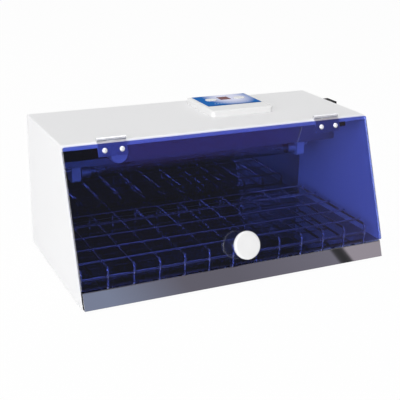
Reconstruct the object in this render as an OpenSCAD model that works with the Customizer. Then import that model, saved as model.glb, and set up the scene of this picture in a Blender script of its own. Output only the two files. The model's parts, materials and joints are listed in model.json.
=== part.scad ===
// Tabletop ultraviolet sterilizer cabinet with a slanted, top-hinged acrylic door.
// Millimetres. +X to the right, +Y to the back, +Z up.
// The origin is on the table, under the middle of the cabinet's base.

/* [Cabinet] */
// Width of the cabinet
body_w = 380; // [366:1:420]
// Depth of the cabinet at its base
body_d = 201; // [195:1:230]
// Height of the cabinet without its feet
body_h = 162.2; // [150:0.1:180]
// How far the front leans back from base to top
front_run = 61; // [50:1:66]
// Thickness of the painted steel sheet
sheet_t = 1; // [0.8:0.1:1.4]
// Outer radius of the bends between the top and the sides
bend_r = 2; // [1.6:0.1:3]
// Outer radius of the bend along the front of the top
front_bend_r = 3; // [2:0.1:3.2]
// Height of the flange that turns down at the front of the top
front_flange_h = 6.5; // [6:0.1:10]
// Width of the flanges that turn in at the rear
rear_flange_w = 8; // [6:0.5:12]
// Clearance between sheets that slide together
sheet_gap = 0.3; // [0.1:0.05:0.5]

/* [Base] */
// Height of the polished floor above the cabinet's bottom edge
floor_h = 18; // [14:0.5:24]
// Thickness of the polished steel sheet
steel_t = 0.8; // [0.6:0.1:1]
// How far the front strip stands before the edges of the walls
strip_out = 2.5; // [0:0.5:3.5]
// Height of the turned lips of the pan and of the bottom plate
lip_h = 9; // [5:0.5:11]
// Diameter of a rubber foot
foot_d = 14; // [10:1:20]
// Height of a rubber foot
foot_h = 3; // [2:0.5:6]
// Distance of a foot's centre from the nearest walls
foot_inset = 24; // [18:1:40]

/* [Door] */
// Thickness of the acrylic panel
door_t = 3; // [2:0.5:4]
// Gap between the panel and the edges beside it
door_gap = 0.8; // [0.5:0.1:1.5]
// Bare strip of the front above the panel
door_top_gap = 2.6; // [0.8:0.1:3]
// Diameter of the knob
knob_d = 32; // [28:1:38]
// How far the knob stands off the panel
knob_h = 17; // [14:0.5:24]
// Height of the knob's centre above the panel's lower edge
knob_up = 21; // [20:0.5:30]
// Diameter of the knob's neck
knob_neck_d = 15; // [12:0.5:18]
// Radius of the knob screw
knob_screw_r = 2; // [1.5:0.1:2.5]

/* [Hinges] */
// Distance of a hinge's middle from the cabinet's side
hinge_in = 55.5; // [50:0.5:80]
// Width of a hinge
hinge_w = 33; // [30:1:36]
// Thickness of a hinge leaf
leaf_t = 0.9; // [0.7:0.1:1.2]
// How far the door leaf reaches below the top edge
door_leaf_h = 15; // [13.5:0.5:16]
// How far the body leaf reaches below the top edge
body_leaf_h = 16.6; // [15:0.1:18]
// Outer radius of a hinge knuckle
knuckle_r = 2; // [1.8:0.1:2.2]
// Radius of a hinge pin
pin_r = 1.1; // [0.9:0.05:1.2]
// Height of the hinge pin above the top edge, along the slant
hinge_rise = 2.2; // [2.2:0.1:3]
// Distance between the two screws of a hinge
hinge_screw_pitch = 19.5; // [18:0.5:22]
// Radius of a hinge screw's shank
hinge_screw_r = 1.5; // [1.2:0.1:1.6]

/* [Rack] */
// Count of front-to-back wires
long_count = 13; // [9:1:15]
// Gap between the rack's first wire and the left wall
rack_left_gap = 4; // [3:0.5:12]
// Gap between the rack's last wire and the right wall
rack_right_gap = 14; // [3:0.5:20]
// Gap between the rack's back legs and the polished rear wall
rack_back_gap = 23.2; // [12:0.1:30]
// Diameter of a front-to-back wire
long_d = 3; // [2:0.1:3.4]
// Count of cross wires
cross_count = 5; // [3:1:7]
// Diameter of a cross wire
cross_d = 2.5; // [2:0.1:3]
// Diameter of the tie rods along the legs
tie_d = 4; // [3:0.1:4.5]
// Height of the front-to-back wires' middle above the floor
rack_h = 17; // [14:0.5:22]
// Distance of the front legs' middle from the cabinet's front edge
rack_front = 19.4; // [17.5:0.1:20]
// Radius of the wires' bends at their middle
wire_bend_r = 4.5; // [4:0.1:6]

/* [Lamp] */
// Diameter of the lamp tube
tube_d = 16; // [15:0.5:17]
// Length of the lamp over its end caps
lamp_len = 288.3; // [270:0.1:288.5]
// Length of an end cap
cap_len = 11; // [8:0.5:14]
// Distance of the lamp's middle behind the fascia
lamp_in = 27; // [22:0.5:30]
// Drop of the lamp's middle below the ballast housing
lamp_drop = 14; // [13:0.5:16]
// Gap between an end cap and its holder
lamp_end_gap = 1.6; // [0.8:0.1:2]
// Width of a lamp holder along the lamp
holder_t = 10.4; // [10:0.1:14]
// Depth of a lamp holder from front to back
holder_d = 17; // [16:0.5:20]
// Height of a lamp holder
holder_h = 24; // [23:0.5:26]
// Radius of the turning rotor in a holder
rotor_r = 6; // [5:0.1:6.2]

/* [Ballast housing] */
// Depth of the housing, from the cabinet's back to the fascia
housing_d = 81.5; // [80:0.5:84]
// Height of the housing's underside above the cabinet's bottom edge
housing_z = 116.5; // [112:0.5:120]
// Diameter of the starter can
starter_d = 21; // [18:0.5:21.5]
// How far the starter stands out of the fascia
starter_out = 24; // [15:0.5:26]
// Distance of the starter's middle from the cabinet's left side
starter_in = 77; // [64:1:110]
// Length of the ballast
ballast_w = 85; // [70:1:110]
// Depth of the ballast
ballast_d = 36; // [30:1:40]
// Height of the ballast
ballast_h = 26; // [20:1:28]

/* [Control box] */
// Width of the control box
box_w = 83; // [78:1:90]
// Depth of the control box
box_d = 76; // [72:1:80]
// Height of the control box
box_h = 7.5; // [7.5:0.1:9]
// Distance of the control box from the cabinet's right side
box_right = 98; // [80:0.5:110]
// Distance of the control box's back from the cabinet's back
box_back = 14.5; // [11:0.5:16]
// Corner radius of the control box
box_r = 5; // [4.5:0.5:7]
// Wall of the control box
box_wall = 1.6; // [1.2:0.1:1.8]
// Width of the blue label
label_w = 73; // [70:0.5:74]
// Depth of the blue label
label_d = 49.5; // [46:0.5:52]
// Thickness of the blue label
label_t = 0.25; // [0.2:0.05:0.4]
// Distance of the label from the box's back edge
label_back = 3.5; // [3:0.5:5]
// Side of the display window
window_w = 14.5; // [12:0.5:16]
// Length of an oval button
button_w = 15; // [13:0.5:16]
// Depth of an oval button
button_d = 10.5; // [9:0.5:12]
// Distance of a button's middle from the label's middle
button_x = 19.5; // [18:0.5:21]
// Travel of a button
button_travel = 0.5; // [0.3:0.05:0.5]

/* [Rocker switch] */
// Length of the switch frame
switch_w = 21; // [20:0.5:24]
// Height of the switch frame
switch_h = 16; // [15:0.5:17]
// How far the switch frame stands off the wall
switch_out = 7; // [2:0.5:7]
// Distance of the switch's middle from the cabinet's back
switch_back = 60; // [50:0.5:64]
// Drop of the switch frame's upper edge below the cabinet's top
switch_drop = 0.5; // [0.4:0.1:4]
// Tilt of the rocker to either side
rocker_tilt = 9; // [6:0.5:10]

/* [Hidden] */
$fn = 64;
wire_fn = 24;
eps = 0.01;
far = 1000;
bend_ease = 1.01;

// Slanted front: its angle from vertical and its length from base to top edge
front_a = atan(front_run / body_h);
front_len = body_h / cos(front_a);
inner_w = body_w - 2 * sheet_t;
inner_top = body_h - sheet_t;

// Sheets stacked at the rear, from the back panel forward
panel_y = body_d - sheet_t;
rear_flange_y = panel_y - sheet_t;
reflector_y = rear_flange_y - steel_t;
fascia_y = body_d - housing_d;
lamp_y = fascia_y + lamp_in;
switch_y = body_d - switch_back;

// Screws of the back panel
rear_screw_r = 1.4;
rear_screw_in = 12;
rear_screw_pitch = (body_w - 2 * rear_screw_in) / 3;
rear_screw_top = inner_top - rear_flange_w / 2;

// Polished pan
pan_gap = 0.8;
pan_w = inner_w - 2 * pan_gap;
strip_s = floor_h / cos(front_a);
pan_bend_r = 1.6 * steel_t;

// Feet
foot_screw_r = 1.6;
foot_recess = 1.4;

// Hinge pin, as its stand-off from the front plane and its place along the slant
leaf_gap = 0.2;
run_gap = 0.06;
hinge_x = body_w / 2 - hinge_in;
pin_n = leaf_t + leaf_gap / 2;
pin_s = front_len + hinge_rise;
knuckle_w = hinge_w / 3;
hinge_screw_in = 10.2;
hinge_screw_s = front_len - hinge_screw_in;
flange_bend = front_bend_r * tan((90 - front_a) / 2);
hinge_rivet_s = front_len - (front_flange_h + flange_bend) / 2;
hinge_rivet_pitch = hinge_screw_pitch / 2;
hinge_rivet_r = 1.2;
screw_head_r = 3;
screw_head_h = 1.9;
recess_w = 0.8;
recess_len = 3.2;
recess_depth = 0.9;

// Acrylic panel
door_w = body_w - 2 * door_gap;
door_n = 2 * leaf_t + leaf_gap;
door_low = strip_s + door_gap;
door_high = front_len - door_top_gap;
knob_s = door_low + knob_up;
washer_t = 0.8;
screw_hole_gap = 0.2;

// Rack
rack_left = rack_left_gap - inner_w / 2;
rack_w = inner_w - rack_left_gap - rack_right_gap;
rack_x = rack_left + rack_w / 2;
long_pitch = rack_w / (long_count - 1);
rack_z = floor_h + rack_h;
weld = 0.3;
cross_in = 14.3;
cross_end = 2.2;
cross_first = rack_front + cross_in;
rack_back = reflector_y - rack_back_gap;
cross_last = rack_back - wire_bend_r - cross_end;
cross_pitch = (cross_last - cross_first) / (cross_count - 1);
cross_z = rack_z + (long_d + cross_d) / 2 - weld;
cross_over = 1.5;
tie_z = floor_h + 5.4;
tie_in = (long_d + tie_d) / 2 - weld;

// Lamp
lamp_z = housing_z - lamp_drop;
holder_face = lamp_len / 2 + lamp_end_gap;
glass_t = 0.9;
lamp_pin_r = 1.18;
lamp_pin_pitch = 4.75;
lamp_pin_len = 6.8;
rotor_len = 7;
rotor_slot = 2.8;
rotor_web = 1.4;
lead_d = 1.8;
lead_bend_r = 2.5;
lead_out = 4.5;
lead_drop = 10.5;
lead_z = housing_z - lead_drop;
lead_pitch = 7;

// Ballast housing
housing_w = inner_w - 2 * (bend_r - sheet_t);
housing_flange_d = 12;
housing_rivet_r = 1.6;
rivet_head_t = 1.2;
head_ratio = 1.8;

// Starter
starter_z = (housing_z + inner_top) / 2 - 4.7;
starter_x = starter_in - body_w / 2;
starter_hole_gap = 0.5;
starter_depth = 4.2;
starter_back = fascia_y + steel_t + starter_depth;
starter_pin_r = 1.2;
starter_pin_ring = 6.35;
starter_pin_len = 4.5;
starter_head_r = 2;
starter_head_h = 1.6;
socket_r = 14;
socket_floor = 9;
socket_gap = 0.3;

// Control box, measured upward from the cabinet's top
box_x = (body_w - box_w) / 2 - box_right;
box_y = body_d - box_back - box_d / 2;
label_x = box_x + 1;
label_y = box_y + box_d / 2 - label_back - label_d / 2;
window_up = 8;
button_up = 4;
window_y = label_y + window_up;
button_y = label_y + button_up;
key_gap = 0.25;
base_t = 1;
board_t = 1.2;
board_lift = 0.6;
board_z = base_t + board_lift;
board_in = 10;
board_w = box_w - 2 * board_in;
board_d = box_d - 2 * board_in;
cover_under = box_h - box_wall;
flange_t = 0.45;
key_clear = 0.05;
key_top = cover_under - flange_t - button_travel - key_clear;
boss_r = 3;
boss_in = 6.5;
control_screw_r = 1.25;
boss_front = fascia_y + housing_flange_d + boss_r - box_y;
boss_rear = box_d / 2 - boss_in;
cable_hole_r = 6;

// Rocker switch
switch_z = body_h - switch_drop - switch_h / 2;
cut_w = switch_w - 4;
cut_h = switch_h - 4;
rocker_w = switch_w - 7;
rocker_h = switch_h - 8;
rocker_gap = 0.4;
rocker_pivot_x = body_w / 2 + 0.5;
rocker_r = 5.6;
rocker_crest = 9.493;
rocker_half_high = rocker_w / 2 - rocker_crest * tan(rocker_tilt);
rocker_rise = rocker_crest * cos(rocker_tilt) + rocker_half_high * sin(rocker_tilt);
rocker_reach = rocker_pivot_x - body_w / 2 + rocker_rise;
rocker_pin_r = 1;
rocker_pin_h = rocker_h + 2 * rocker_gap + 1.4;
switch_body_len = 22;

// Cord gland in the back panel
gland_in = 50;
gland_x = body_w / 2 - gland_in;
gland_up = 23;
gland_z = housing_z + gland_up;
gland_bore_r = 3.6;
gland_body_r = 6;
gland_flange_r = 8.5;
gland_flange_t = 3;
gland_nut_t = 4;

// Interlock switch behind the front flange
interlock_w = 9.5;
interlock_gap = 0.8;
interlock_x = hinge_x + (hinge_w + interlock_w) / 2 + interlock_gap;
interlock_h = 9;
interlock_t = 9;
interlock_drop = 5;
interlock_low = front_len - front_flange_h - interlock_drop;
plunger_r = 1.4;
plunger_up = 1.9;
plunger_x = interlock_x + 2;
plunger_s = interlock_low + plunger_up;
plunger_run = 0.08;
plunger_touch = 0.3;
plunger_in = 4;

// Vents in the back panel
vent_count = 9;
vent_pitch = 8;
vent_len = 24;
vent_w = 3;
vent_in = 130;
vent_x = vent_in - body_w / 2;
vent_z = (housing_z + inner_top) / 2;

// Places a piece that is measured from the middle of the cabinet's front bottom edge. The part's own
// middle is a little to the right of that, because the rocker stands out of the right side.
module place() {
    translate([-rocker_reach / 2, -body_d / 2, foot_h]) children();
}

// Frame of the slanted front: X sideways, -Y outward, Z up the slant.
module front() {
    place() rotate([-front_a, 0, 0]) children();
}

// Extrudes a profile drawn in Y and Z along X, centred.
module along_x(w) {
    rotate([90, 0, 90]) linear_extrude(w, center = true) children();
}

// Extrudes a profile drawn in X and Z along Y, from y0 for a length.
module along_y(y0, len) {
    translate([0, y0 + len, 0]) rotate([90, 0, 0]) linear_extrude(len) children();
}

// Cylinder along Y from y0 for a length.
module rod_y(r, y0, len) {
    translate([0, y0, 0]) rotate([-90, 0, 0]) cylinder(r = r, h = len);
}

// Cylinder along X, centred.
module rod_x(r, len) {
    rotate([0, 90, 0]) cylinder(r = r, h = len, center = true);
}

// Quarter bend of a round wire in the XY plane, from +X to +Y about the origin.
module quarter_bend(d, r) {
    rotate_extrude(angle = 90, $fn = wire_fn) translate([r, 0]) circle(d / 2, $fn = wire_fn);
}

// Rectangle with round corners, centred.
module round_rect(w, d, r) {
    square([w - 2 * r, d], center = true);
    square([w, d - 2 * r], center = true);
    for (sx = [-1, 1], sy = [-1, 1])
        translate([sx * (w / 2 - r), sy * (d / 2 - r)]) circle(r);
}

// Flat oval with half-round ends, centred.
module oval(w, d) {
    square([w - d, d], center = true);
    for (s = [-1, 1]) translate([s * (w - d) / 2, 0]) circle(d / 2);
}

// Outline of the cabinet seen from the front, with bent upper corners.
module wrap_outline(w, h, r) {
    translate([-w / 2, 0]) square([w, h - r]);
    translate([-w / 2 + r, 0]) square([w - 2 * r, h]);
    for (s = [-1, 1]) translate([s * (w / 2 - r), h - r]) circle(r);
}

// Centre of a bend of radius r between the slanted front and a level sheet at height z, in Y and Z.
function corner_centre(z, r) = [((z - r) * sin(front_a) + r) / cos(front_a), z - r];

// Wedge that holds such a bend, out to its sharp corner.
module corner_wedge(z, r) {
    centre = corner_centre(z, r);
    sharp = [z * tan(front_a) - eps, z + eps];
    to_top = [centre[0], z + eps];
    to_front = centre + (r + eps) * [-cos(front_a), sin(front_a)];
    polygon([centre, to_top, sharp, to_front]);
}

// What a bend takes off its sharp corner. The round is a touch wide, so that it crosses the flat faces.
module corner_waste(z, r) {
    difference() {
        corner_wedge(z, r);
        translate(corner_centre(z, r)) circle(r * bend_ease);
    }
}

module front_flange_profile() {
    rotate([0, 0, -front_a]) translate([0, front_len - front_flange_h]) square([sheet_t, front_flange_h]);
}

// Bend of the top sheet into the front flange. It stays inside the sheet, and its inner round crosses
// the flat faces.
module front_bend_profile() {
    intersection() {
        corner_wedge(body_h, front_bend_r);
        translate(corner_centre(body_h, front_bend_r)) difference() {
            circle(front_bend_r - sheet_t / 2);
            circle((front_bend_r - sheet_t) * bend_ease);
        }
    }
}

module outer_shell() {
    color("white") place() difference() {
        union() {
            difference() {
                along_y(0, body_d) difference() {
                    wrap_outline(body_w, body_h, bend_r);
                    wrap_outline(inner_w, inner_top, bend_r - sheet_t);
                }
                rotate([-front_a, 0, 0]) translate([-far / 2, -far, -far / 2]) cube([far, far, far]);
            }
            along_x(inner_w + sheet_t) {
                front_flange_profile();
                front_bend_profile();
            }
            along_y(rear_flange_y, sheet_t) difference() {
                wrap_outline(inner_w, inner_top, bend_r - sheet_t);
                translate([-inner_w / 2 + rear_flange_w, -eps])
                    square([inner_w - 2 * rear_flange_w, inner_top - rear_flange_w + eps]);
            }
        }
        along_x(body_w + 2) corner_waste(body_h, front_bend_r);
        switch_cutout();
        control_holes();
        rear_screw_places() rod_y(rear_screw_r, rear_flange_y - eps, sheet_t + 2 * eps);
        rivet_places() rod_y(housing_rivet_r, rear_flange_y - eps, sheet_t + 2 * eps);
        rotate([-front_a, 0, 0]) hinge_rivet_places() rod_y(hinge_rivet_r, -eps, sheet_t + 2 * eps);
    }
}

module switch_cutout() {
    translate([body_w / 2 - sheet_t / 2, switch_y, switch_z])
        cube([sheet_t + 2, cut_w, cut_h], center = true);
}

module control_holes() {
    translate([box_x, box_y, body_h]) {
        cylinder(r = cable_hole_r, h = 3 * sheet_t, center = true);
        control_boss_places() cylinder(r = control_screw_r + screw_hole_gap, h = 3 * sheet_t, center = true);
    }
}

// Back panel and its screws
module rear_screw_places() {
    side_screw_up = 10;
    for (i = [0:3]) translate([(i - 1.5) * rear_screw_pitch, 0, rear_screw_top]) children();
    for (s = [-1, 1]) translate([s * (inner_w - rear_flange_w) / 2, 0, floor_h + side_screw_up]) children();
}

module back_panel() {
    panel_w = inner_w - 2 * sheet_gap;
    panel_h = inner_top - sheet_gap;
    color("white") place() difference() {
        along_y(panel_y, sheet_t) wrap_outline(panel_w, panel_h, bend_r - sheet_t);
        rear_screw_places() rod_y(rear_screw_r, panel_y - eps, sheet_t + 2 * eps);
        translate([gland_x, 0, gland_z]) rod_y(gland_body_r, panel_y - eps, sheet_t + 2 * eps);
        translate([vent_x, 0, vent_z]) along_y(panel_y - eps, sheet_t + 2 * eps)
            for (i = [0:vent_count - 1])
                translate([(i - (vent_count - 1) / 2) * vent_pitch, 0])
                    rotate([0, 0, 90]) oval(vent_len, vent_w);
    }
}

module back_panel_screws() {
    color("silver") place() rear_screw_places() {
        rod_y(rear_screw_r, rear_flange_y, 2 * sheet_t);
        difference() {
            translate([0, body_d, 0]) rotate([-90, 0, 0]) screw_head();
            cross_recess(body_d + screw_head_h - recess_depth);
        }
    }
}

// Cross recess in a screw head that faces +Y, cut from y0 outward.
module cross_recess(y0) {
    for (a = [0, 90])
        rotate([0, a, 0]) translate([-recess_w / 2, y0, -recess_len / 2])
            cube([recess_w, screw_head_h, recess_len]);
}

// Domed screw head on the XY plane.
module screw_head() {
    dome_r = (screw_head_r * screw_head_r + screw_head_h * screw_head_h) / (2 * screw_head_h);
    intersection() {
        translate([0, 0, screw_head_h - dome_r]) sphere(dome_r);
        cylinder(r = screw_head_r, h = screw_head_h);
    }
}

// Inner face of the front strip at height z, in Y.
function strip_inner(z) = z * tan(front_a) + (steel_t - strip_out) / cos(front_a);

module base_pan() {
    cheek_in = 2;
    pan_back = reflector_y - sheet_gap;
    lip_low = floor_h - lip_h;
    floor_front = floor_h * tan(front_a);
    strip_y = -strip_out / cos(front_a);
    color("gainsboro") place() {
        along_x(pan_w) difference() {
            polygon([
                [strip_y, 0], [floor_front + strip_y, floor_h], [pan_back, floor_h], [pan_back, lip_low],
                [pan_back - steel_t, lip_low], [pan_back - steel_t, floor_h - steel_t],
                [strip_inner(floor_h - steel_t), floor_h - steel_t],
                [strip_inner(steel_t), steel_t], [lip_h, steel_t], [lip_h, 0]
            ]);
            translate([strip_y, 0]) corner_waste(floor_h, pan_bend_r);
        }
        for (s = [-1, 1])
            translate([s * (pan_w - steel_t) / 2, 0, 0]) along_x(steel_t)
                polygon([
                    [floor_front + cheek_in, floor_h - steel_t / 2],
                    [floor_front + cheek_in, lip_low],
                    [pan_back, lip_low],
                    [pan_back, floor_h - steel_t / 2]
                ]);
    }
}

module foot_places() {
    for (sx = [-1, 1], y = [foot_inset, panel_y - foot_inset])
        translate([sx * (body_w / 2 - foot_inset), y, 0]) children();
}

module bottom_plate() {
    lap = 3;
    plate_front = lip_h + lap - 1;
    plate_back = rear_flange_y - sheet_gap;
    plate_w = inner_w - 2 * sheet_gap;
    plate_lip = floor_h - lip_h - 2;
    color("white") place() difference() {
        union() {
            translate([-plate_w / 2, plate_front, 0]) cube([plate_w, plate_back - plate_front, sheet_t]);
            for (s = [-1, 1])
                translate([s * (plate_w - sheet_t) / 2 - sheet_t / 2, plate_front, 0])
                    cube([sheet_t, plate_back - plate_front, plate_lip]);
            translate([-plate_w / 2, plate_back - sheet_t, 0]) cube([plate_w, sheet_t, plate_lip]);
            translate([-plate_w / 2, plate_front - lap, steel_t])
                cube([plate_w, lap + sheet_t, sheet_t - steel_t / 2]);
        }
        foot_places() translate([0, 0, -eps]) cylinder(r = foot_screw_r, h = sheet_t + 2 * eps);
    }
}

module rubber_feet() {
    color("black") place() foot_places() difference() {
        translate([0, 0, -foot_h]) cylinder(d1 = foot_d - 1.5, d2 = foot_d, h = foot_h);
        translate([0, 0, -foot_h - eps]) cylinder(r = screw_head_r + screw_hole_gap, h = foot_recess + eps);
        translate([0, 0, -foot_h]) cylinder(r = foot_screw_r, h = foot_h + eps);
    }
}

module foot_screws() {
    thread_len = 4;
    head_in = 0.2;
    color("silver") place() foot_places() {
        translate([0, 0, foot_recess - foot_h])
            cylinder(r = foot_screw_r, h = foot_h - foot_recess + sheet_t + thread_len);
        translate([0, 0, head_in - foot_h]) cylinder(r = screw_head_r, h = foot_recess - head_in);
    }
}

module back_reflector() {
    color("gainsboro") place()
        translate([-pan_w / 2, reflector_y, floor_h])
            cube([pan_w, steel_t, housing_z - floor_h]);
}

// Ballast housing: fascia, shelf and flanges bent from one polished sheet
module rivet_places() {
    for (s = [-1, 1])
        translate([s * (inner_w - rear_flange_w) / 2, 0, housing_z + housing_flange_d / 2]) children();
}

module ballast_housing() {
    shelf_d = rear_flange_y - fascia_y;
    color("gainsboro") place() difference() {
        along_x(housing_w) {
            translate([fascia_y, housing_z]) square([shelf_d, steel_t]);
            translate([fascia_y, housing_z]) square([steel_t, inner_top - housing_z]);
            translate([fascia_y, inner_top - steel_t]) square([housing_flange_d, steel_t]);
            translate([rear_flange_y - steel_t, housing_z]) square([steel_t, housing_flange_d]);
        }
        rivet_places() rod_y(housing_rivet_r, rear_flange_y - steel_t - eps, steel_t + 2 * eps);
        translate([starter_x, 0, starter_z])
            rod_y(starter_d / 2 + starter_hole_gap, fascia_y - 1, steel_t + 2);
    }
}

module housing_rivets() {
    color("silver") place() rivet_places() {
        rod_y(housing_rivet_r, rear_flange_y - steel_t, steel_t + sheet_t);
        rod_y(head_ratio * housing_rivet_r, rear_flange_y - steel_t - rivet_head_t, rivet_head_t);
    }
}

module ballast() {
    foot_w = 10;
    foot_t = 1.2;
    base_z = housing_z + steel_t;
    color("dimgray") place() translate([0, (fascia_y + rear_flange_y) / 2 + 4, base_z]) {
        translate([-ballast_w / 2, -ballast_d / 2, 0]) cube([ballast_w, ballast_d, ballast_h]);
        for (s = [-1, 1])
            translate([s * (ballast_w + foot_w) / 2 - foot_w / 2, -ballast_d / 4, 0])
                cube([foot_w, ballast_d / 2, foot_t]);
    }
}

// Starter, which twists in its socket behind the fascia
module starter_socket() {
    wall_y = fascia_y + steel_t;
    groove_half = starter_head_r + socket_gap;
    color("white") place() translate([starter_x, 0, starter_z]) difference() {
        rod_y(socket_r, wall_y, starter_depth + socket_gap + socket_floor);
        rod_y(starter_d / 2 + starter_hole_gap, wall_y - eps, starter_depth + socket_gap + eps);
        difference() {
            rod_y(starter_pin_ring + groove_half, starter_back, starter_pin_len + 2 * socket_gap);
            rod_y(starter_pin_ring - groove_half, starter_back - 1, starter_pin_len + 2);
        }
    }
}

module starter_can() {
    edge_r = 2;
    can_front = fascia_y - starter_out;
    color("whitesmoke") place() translate([starter_x, starter_back, starter_z]) rotate([90, 0, 0]) {
        can_len = starter_back - can_front;
        rotate_extrude() {
            square([starter_d / 2, can_len - edge_r]);
            square([starter_d / 2 - edge_r, can_len]);
            translate([starter_d / 2 - edge_r, can_len - edge_r]) intersection() {
                circle(edge_r);
                square(edge_r);
            }
        }
    }
}

module starter_pins() {
    color("silver") place() for (s = [-1, 1])
        translate([starter_x + s * starter_pin_ring, 0, starter_z]) {
            rod_y(starter_pin_r, starter_back, starter_pin_len - starter_head_h);
            rod_y(starter_head_r, starter_back + starter_pin_len - starter_head_h, starter_head_h);
        }
}

// Lamp holders: s is -1 for the left one and 1 for the right one
module lamp_holder(s) {
    corner_cut = 3;
    holder_low = housing_z - holder_h;
    color("white") place() translate([s * (holder_face + holder_t / 2), lamp_y, 0]) difference() {
        translate([-holder_t / 2, -holder_d / 2, holder_low]) cube([holder_t, holder_d, holder_h]);
        for (e = [-1, 1])
            translate([0, e * holder_d / 2, holder_low])
                rotate([45, 0, 0]) cube([holder_t + 1, corner_cut, corner_cut], center = true);
        translate([-s * (holder_t - rotor_len) / 2, 0, lamp_z]) rod_x(rotor_r + run_gap, rotor_len + eps);
        translate([-s * (holder_t - rotor_len) / 2, 0, lamp_z - holder_h / 2])
            cube([rotor_len + eps, rotor_slot, holder_h], center = true);
        for (e = [-1, 1])
            translate([s * holder_t / 2, e * lead_pitch / 2, lead_z]) rod_x(lead_d / 2, 4);
    }
}

module lamp_holder_left() { lamp_holder(-1); }
module lamp_holder_right() { lamp_holder(1); }

module lamp_rotors() {
    color("ivory") place() for (s = [-1, 1])
        translate([s * (holder_face + rotor_len / 2), lamp_y, lamp_z]) difference() {
            translate([-s * run_gap, 0, 0]) rod_x(rotor_r, rotor_len - 2 * run_gap);
            translate([-s * rotor_web, 0, 0]) cube([rotor_len, 2 * rotor_r + 1, rotor_slot], center = true);
        }
}

module lamp_tube() {
    glass_len = lamp_len - 2;
    color("lightcyan", 0.4) place() translate([0, lamp_y, lamp_z]) difference() {
        rod_x(tube_d / 2, glass_len);
        rod_x(tube_d / 2 - glass_t, glass_len - 2 * glass_t);
    }
}

module lamp_caps() {
    cap_wall = 0.3;
    color("silver") place() translate([0, lamp_y, lamp_z]) for (s = [-1, 1]) difference() {
        translate([s * (lamp_len - cap_len) / 2, 0, 0]) rod_x(tube_d / 2 + cap_wall, cap_len);
        translate([s * (lamp_len - cap_len - 2) / 2, 0, 0]) rod_x(tube_d / 2, cap_len);
    }
}

module lamp_pins() {
    color("silver") place() for (s = [-1, 1], e = [-1, 1])
        translate([s * (lamp_len + lamp_pin_len) / 2, lamp_y + e * lamp_pin_pitch / 2, lamp_z])
            rod_x(lamp_pin_r, lamp_pin_len);
}

module lamp_electrodes() {
    stem_r = 3.2;
    stem_len = 16;
    post_r = 0.4;
    post_len = 12;
    post_pitch = 4;
    bridge_len = 6;
    stem_end = lamp_len / 2 - 1 - glass_t;
    color("darkgray") place() translate([0, lamp_y, lamp_z]) for (s = [-1, 1]) {
        translate([s * (stem_end - stem_len / 2), 0, 0]) rod_x(stem_r, stem_len);
        for (e = [-1, 1])
            translate([s * (stem_end - stem_len - post_len / 2), e * post_pitch / 2, 0])
                rod_x(post_r, post_len);
        translate([s * (stem_end - stem_len - post_len), 0, 0]) rod_y(post_r, -bridge_len / 2, bridge_len);
    }
}

// Leads that come out of each holder and bend up into the housing
module lamp_leads() {
    lead_x = holder_face + holder_t;
    inside = 2;
    color("white") place() for (s = [-1, 1], e = [-1, 1])
        translate([s * lead_x, lamp_y + e * lead_pitch / 2, lead_z]) {
            translate([s * (lead_out - inside) / 2, 0, 0])
                rod_x(lead_d / 2, lead_out + inside, $fn = wire_fn);
            translate([s * lead_out, 0, lead_bend_r]) rotate([90, 0, s > 0 ? 0 : 180])
                rotate([0, 0, -90]) quarter_bend(lead_d, lead_bend_r);
            translate([s * (lead_out + lead_bend_r), 0, lead_bend_r])
                cylinder(d = lead_d, h = housing_z - lead_z - lead_bend_r, $fn = wire_fn);
        }
}

// Rack of welded wires that stands on the polished floor
module rack_long_wires() {
    leg_h = rack_z - wire_bend_r - floor_h;
    run = rack_back - rack_front - 2 * wire_bend_r;
    color("lightsteelblue") place() for (i = [0:long_count - 1])
        translate([rack_left + i * long_pitch, 0, 0]) {
            translate([0, rack_front + wire_bend_r, rack_z]) rotate([-90, 0, 0])
                cylinder(d = long_d, h = run, $fn = wire_fn);
            for (y = [rack_front, rack_back])
                translate([0, y, floor_h]) cylinder(d = long_d, h = leg_h, $fn = wire_fn);
            translate([0, rack_back - wire_bend_r, rack_z - wire_bend_r])
                rotate([90, 0, 90]) quarter_bend(long_d, wire_bend_r);
            translate([0, rack_front + wire_bend_r, rack_z - wire_bend_r])
                rotate([90, 0, 90]) rotate([0, 0, 90]) quarter_bend(long_d, wire_bend_r);
        }
}

module rack_cross_wires() {
    color("lightsteelblue") place() for (i = [0:cross_count - 1])
        translate([rack_x, cross_first + i * cross_pitch, cross_z])
            rod_x(cross_d / 2, rack_w + 2 * cross_over, $fn = wire_fn);
}

module rack_tie_rods() {
    color("lightsteelblue") place() for (y = [rack_front + tie_in, rack_back - tie_in])
        translate([rack_x, y, tie_z]) rod_x(tie_d / 2, rack_w + 2 * cross_over, $fn = wire_fn);
}

// Door, in the frame of the slanted front
module hinge_places() {
    for (s = [-1, 1]) translate([s * hinge_x, 0, 0]) children();
}

module hinge_screw_places() {
    hinge_places() for (s = [-1, 1]) translate([s * hinge_screw_pitch / 2, 0, hinge_screw_s]) children();
}

module hinge_rivet_places() {
    hinge_places() for (s = [-1, 1]) translate([s * hinge_rivet_pitch / 2, 0, hinge_rivet_s]) children();
}

module door_panel() {
    corner_r = 2;
    face_y = -door_n - door_t;
    color("royalblue", 0.5) front() difference() {
        translate([0, 0, (door_low + door_high) / 2]) along_y(face_y, door_t)
            round_rect(door_w, door_high - door_low, corner_r);
        hinge_screw_places() rod_y(hinge_screw_r + screw_hole_gap, face_y - eps, door_t + 2 * eps);
        translate([0, 0, knob_s]) rod_y(knob_screw_r + screw_hole_gap, face_y - eps, door_t + 2 * eps);
    }
}

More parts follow.
